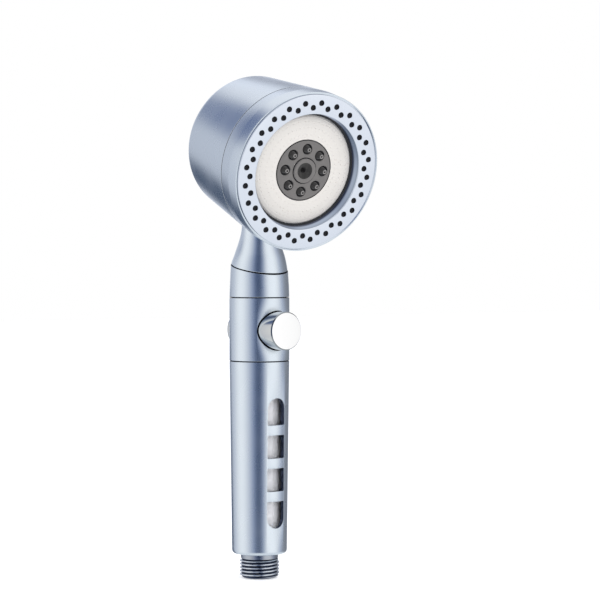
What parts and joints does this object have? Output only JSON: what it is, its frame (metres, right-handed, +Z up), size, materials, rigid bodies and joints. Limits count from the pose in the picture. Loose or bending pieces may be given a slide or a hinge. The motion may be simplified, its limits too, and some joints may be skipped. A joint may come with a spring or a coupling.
{
  "type": "handheld shower head",
  "caption": "Round handheld shower head on a slim handle with a window-lit filter, a push-through stop button and a turning multi-zone spray face.",
  "frame": {"origin": "centre of the hose thread's end face, at the bottom of the handle", "axes": "+Z up along the handle's axis, the spray face looks towards -Y and 16.9 degrees down, +X to the right of the person holding it behind the face"},
  "size_m": [0.0838, 0.0843, 0.267],
  "materials": {
    "body_paint": "satin metallic",
    "face_paint": "satin metallic, pale",
    "chrome": "polished",
    "connector_metal": "plated, satin",
    "steel": "plain stainless",
    "clear_plastic": "clear moulded plastic",
    "white_plastic": "moulded",
    "filter_cotton": "wound fibre",
    "inner_plastic": "moulded",
    "valve_brass": "machined",
    "disc_plastic": "fine satin",
    "centre_plastic": "satin",
    "nozzle_rubber": "soft",
    "cone_rubber": "soft",
    "seal_rubber": "soft"
  },
  "bodies": {
    "handle": {"hose_connector": "connector_metal", "handle_sleeve": "body_paint", "filter_tube": "clear_plastic", "connector_washer": "seal_rubber", "tube_seal": "seal_rubber"},
    "filter_cartridge": {"filter_bottom_cap": "white_plastic", "filter_cotton": "filter_cotton", "filter_core": "white_plastic", "filter_top_cap": "white_plastic", "filter_seal": "seal_rubber"},
    "upper_unit": {"valve_body": "inner_plastic", "valve_collar": "body_paint", "upper_collar": "body_paint", "neck_seal": "seal_rubber", "head_housing": "body_paint", "distributor": "inner_plastic", "distributor_seal": "seal_rubber", "distributor_screws": "steel", "port_seal": "seal_rubber", "port_spring": "steel", "detent_spring": "steel", "spindle_washer": "steel", "spindle_screw": "steel"},
    "detent": {"detent_ball": "steel"},
    "stop_button": {"stop_spool": "valve_brass", "front_cap": "chrome", "rear_cap": "chrome", "spool_seals": "seal_rubber"},
    "spray_face": {"mode_ring": "body_paint", "face_plate": "face_paint", "rain_nozzles": "nozzle_rubber", "disc_gasket": "seal_rubber", "spray_disc": "disc_plastic", "centre_plate": "centre_plastic", "centre_nozzles": "cone_rubber", "centre_puck": "centre_plastic", "chamber_body": "inner_plastic", "selector_plate": "inner_plastic"},
    "turbine": {"turbine": "white_plastic"}
  },
  "joints": [
    {"name": "handle_rise", "type": "slide", "parent": "handle", "child": "filter_cartridge", "axis": [0, 0, 1], "range_m": [0, 0.0075]},
    {"name": "handle_unscrew", "type": "hinge", "parent": "filter_cartridge", "child": "upper_unit", "pos_m": [0, 0, 0.1156], "axis": [0, 0, 1], "range_deg": [0, 900]},
    {"name": "stop_push", "type": "slide", "parent": "upper_unit", "child": "stop_button", "axis": [-0.1132, 0.9936, 0], "range_m": [0, 0.008]},
    {"name": "mode_turn", "type": "hinge", "parent": "upper_unit", "child": "spray_face", "pos_m": [0, -0.04926, 0.21394], "axis": [0, -0.9568, -0.2907], "range_deg": [-45, 45]},
    {"name": "turbine_spin", "type": "hinge", "parent": "spray_face", "child": "turbine", "pos_m": [0, -0.04926, 0.21394], "axis": [0, -0.9568, -0.2907], "continuous": true},
    {"name": "detent_click", "type": "slide", "parent": "upper_unit", "child": "detent", "axis": [0, -0.9568, -0.2907], "range_m": [0, 0.0005]}
  ],
  "couplings": [
    {"joint": "handle_rise", "follows": "handle_unscrew", "m_per_rad": 0.00047746}
  ]
}
